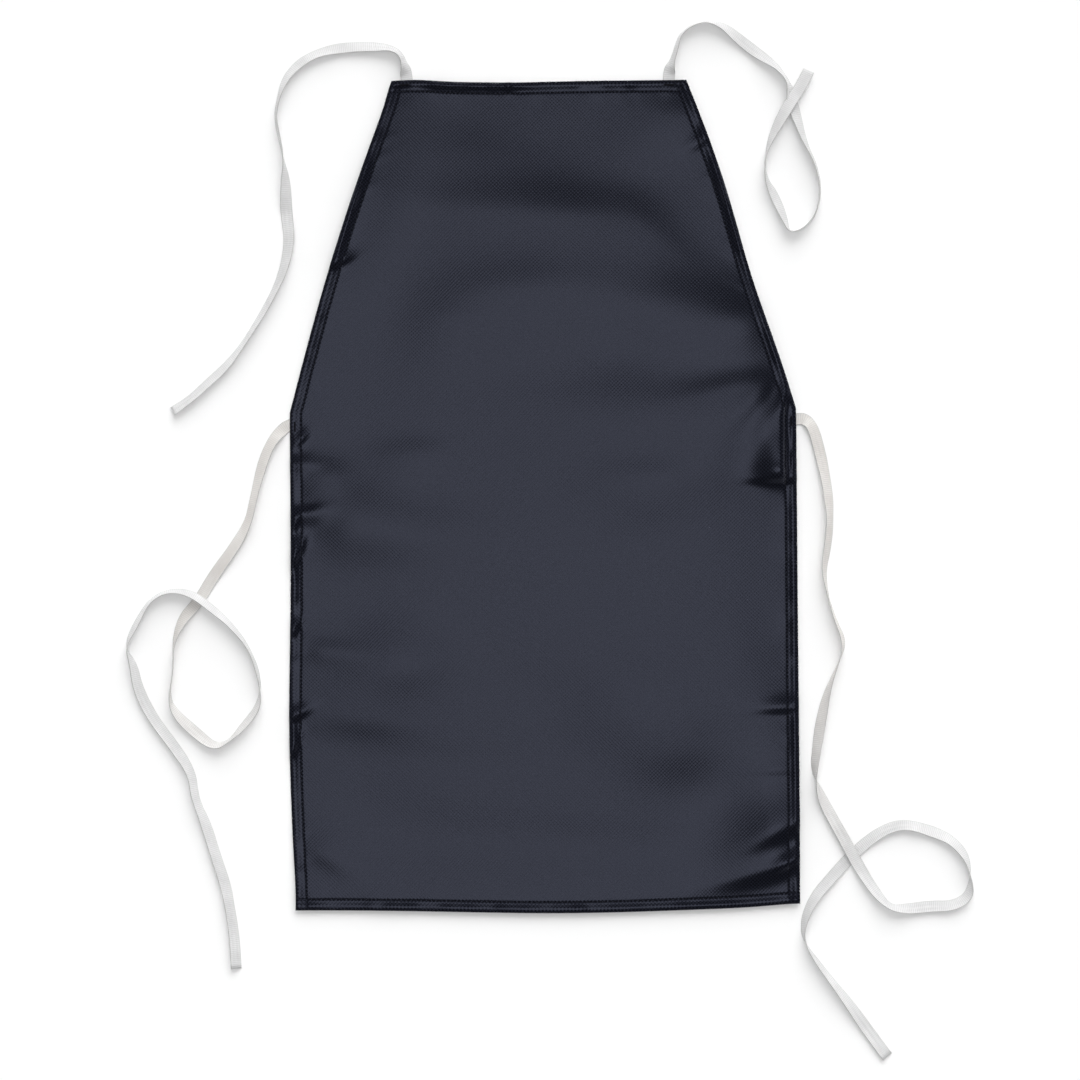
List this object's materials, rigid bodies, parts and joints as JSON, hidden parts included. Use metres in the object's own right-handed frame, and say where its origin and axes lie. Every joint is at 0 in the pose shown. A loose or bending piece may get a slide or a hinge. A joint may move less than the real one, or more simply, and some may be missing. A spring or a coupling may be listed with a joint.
{
  "type": "artist smock apron",
  "caption": "Dark coated-cloth artist's apron laid flat: a bib with curved sides over a straight skirt, hems turned to the back, and light tape ties at the neck and waist.",
  "frame": {"origin": "the middle of the apron without its ties, on the surface that it lies on", "axes": "+Z out of the front face, up from the surface; +Y from the skirt's bottom edge to the bib's top edge; +X to the right as seen from the front. Left and right in the node names are as seen from the front"},
  "size_m": [0.6788, 0.8327, 0.0098],
  "materials": {
    "coated_cloth": "dark navy charcoal cloth with a slightly glossy waterproof coating and a fine woven emboss",
    "dark_thread": "near-black polyester sewing thread",
    "white_tape": "off-white narrow woven tape with fine crosswise ribs"
  },
  "bodies": {
    "root": {"panel": "coated_cloth", "top_hem": "coated_cloth", "bottom_hem": "coated_cloth", "left_side_hem": "coated_cloth", "right_side_hem": "coated_cloth", "left_bib_hem": "coated_cloth", "right_bib_hem": "coated_cloth", "top_seam": "dark_thread", "bottom_seam": "dark_thread", "left_side_seam": "dark_thread", "right_side_seam": "dark_thread", "left_bib_seam": "dark_thread", "right_bib_seam": "dark_thread", "left_neck_tie": "white_tape", "right_neck_tie": "white_tape", "left_waist_tie": "white_tape", "right_waist_tie": "white_tape", "left_neck_tack": "dark_thread", "right_neck_tack": "dark_thread", "left_waist_tack": "dark_thread", "right_waist_tack": "dark_thread"}
  },
  "joints": []
}
